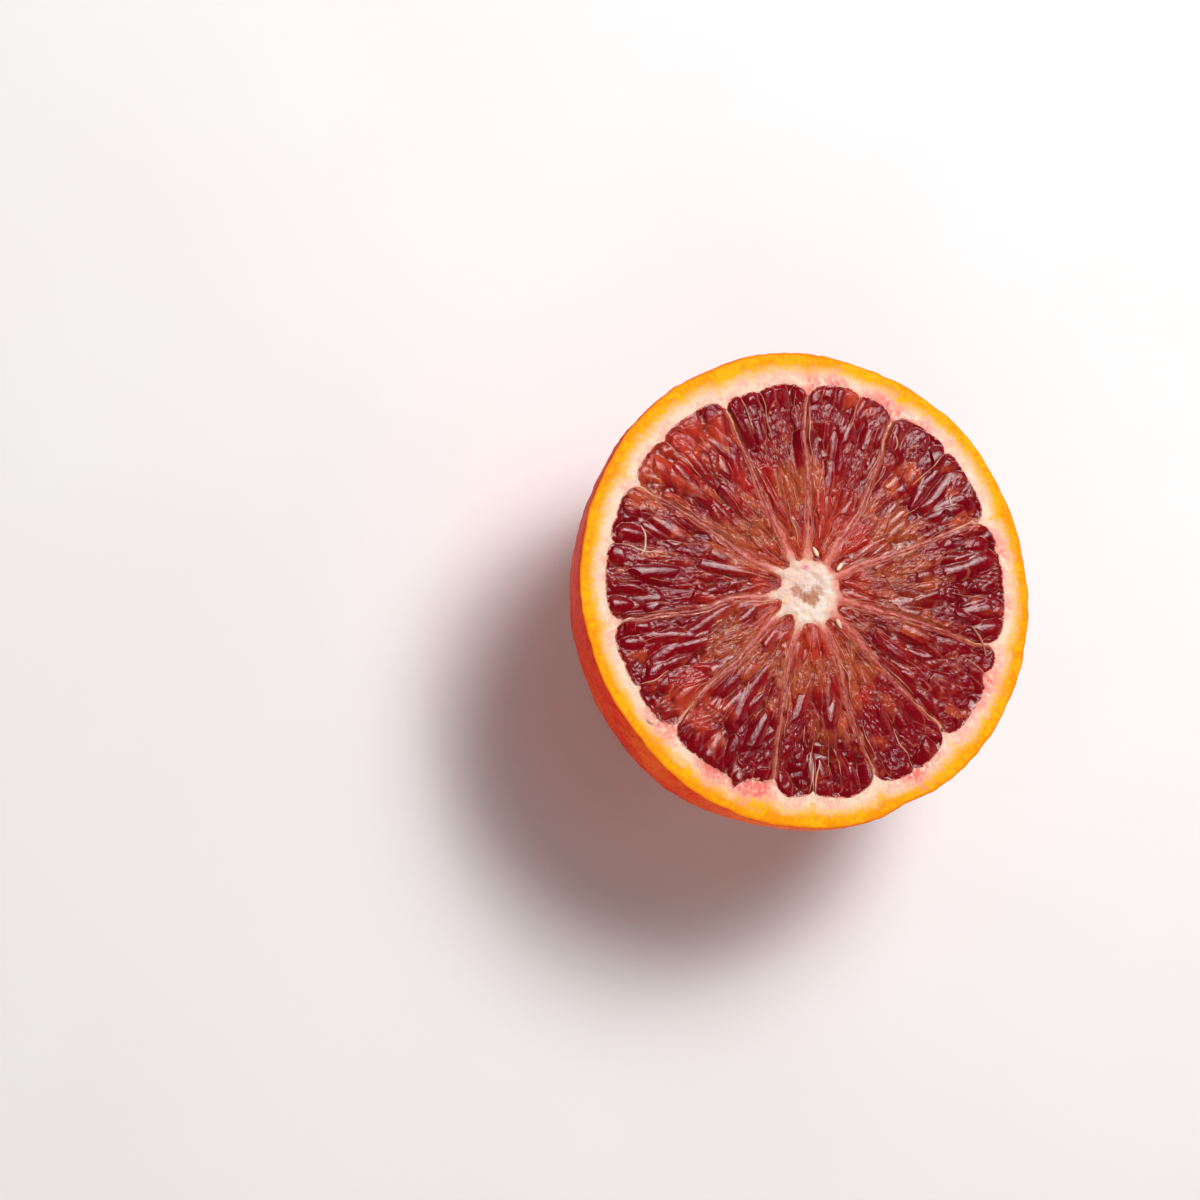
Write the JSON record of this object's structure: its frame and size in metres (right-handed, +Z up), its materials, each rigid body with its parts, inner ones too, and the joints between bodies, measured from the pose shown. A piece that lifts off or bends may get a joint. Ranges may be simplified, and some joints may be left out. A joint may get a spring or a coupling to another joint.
{
  "type": "blood orange half",
  "caption": "Half of a blood orange cut across its middle, with dark red flesh in segments, a pale pithy core and an orange rind, lying cut face up.",
  "frame": {"origin": "middle of the small flat spot on the rounded skin that the half rests on", "axes": "+Z up, out of the cut face; +Y towards the top of the cut face as it is seen, +X to its right"},
  "size_m": [0.076, 0.076, 0.0402],
  "materials": {
    "flesh": "wet translucent juice vesicles, dark red at the rind to brownish orange at the core",
    "membrane": "thin wet pinkish membranes between the segments",
    "pith": "soft cream pith, blushed pink beside the flesh",
    "rind": "satin orange skin with fine pores and a red blush",
    "seed": "small pale undeveloped seeds"
  },
  "bodies": {
    "root": {"orange_half": "flesh"}
  },
  "joints": []
}
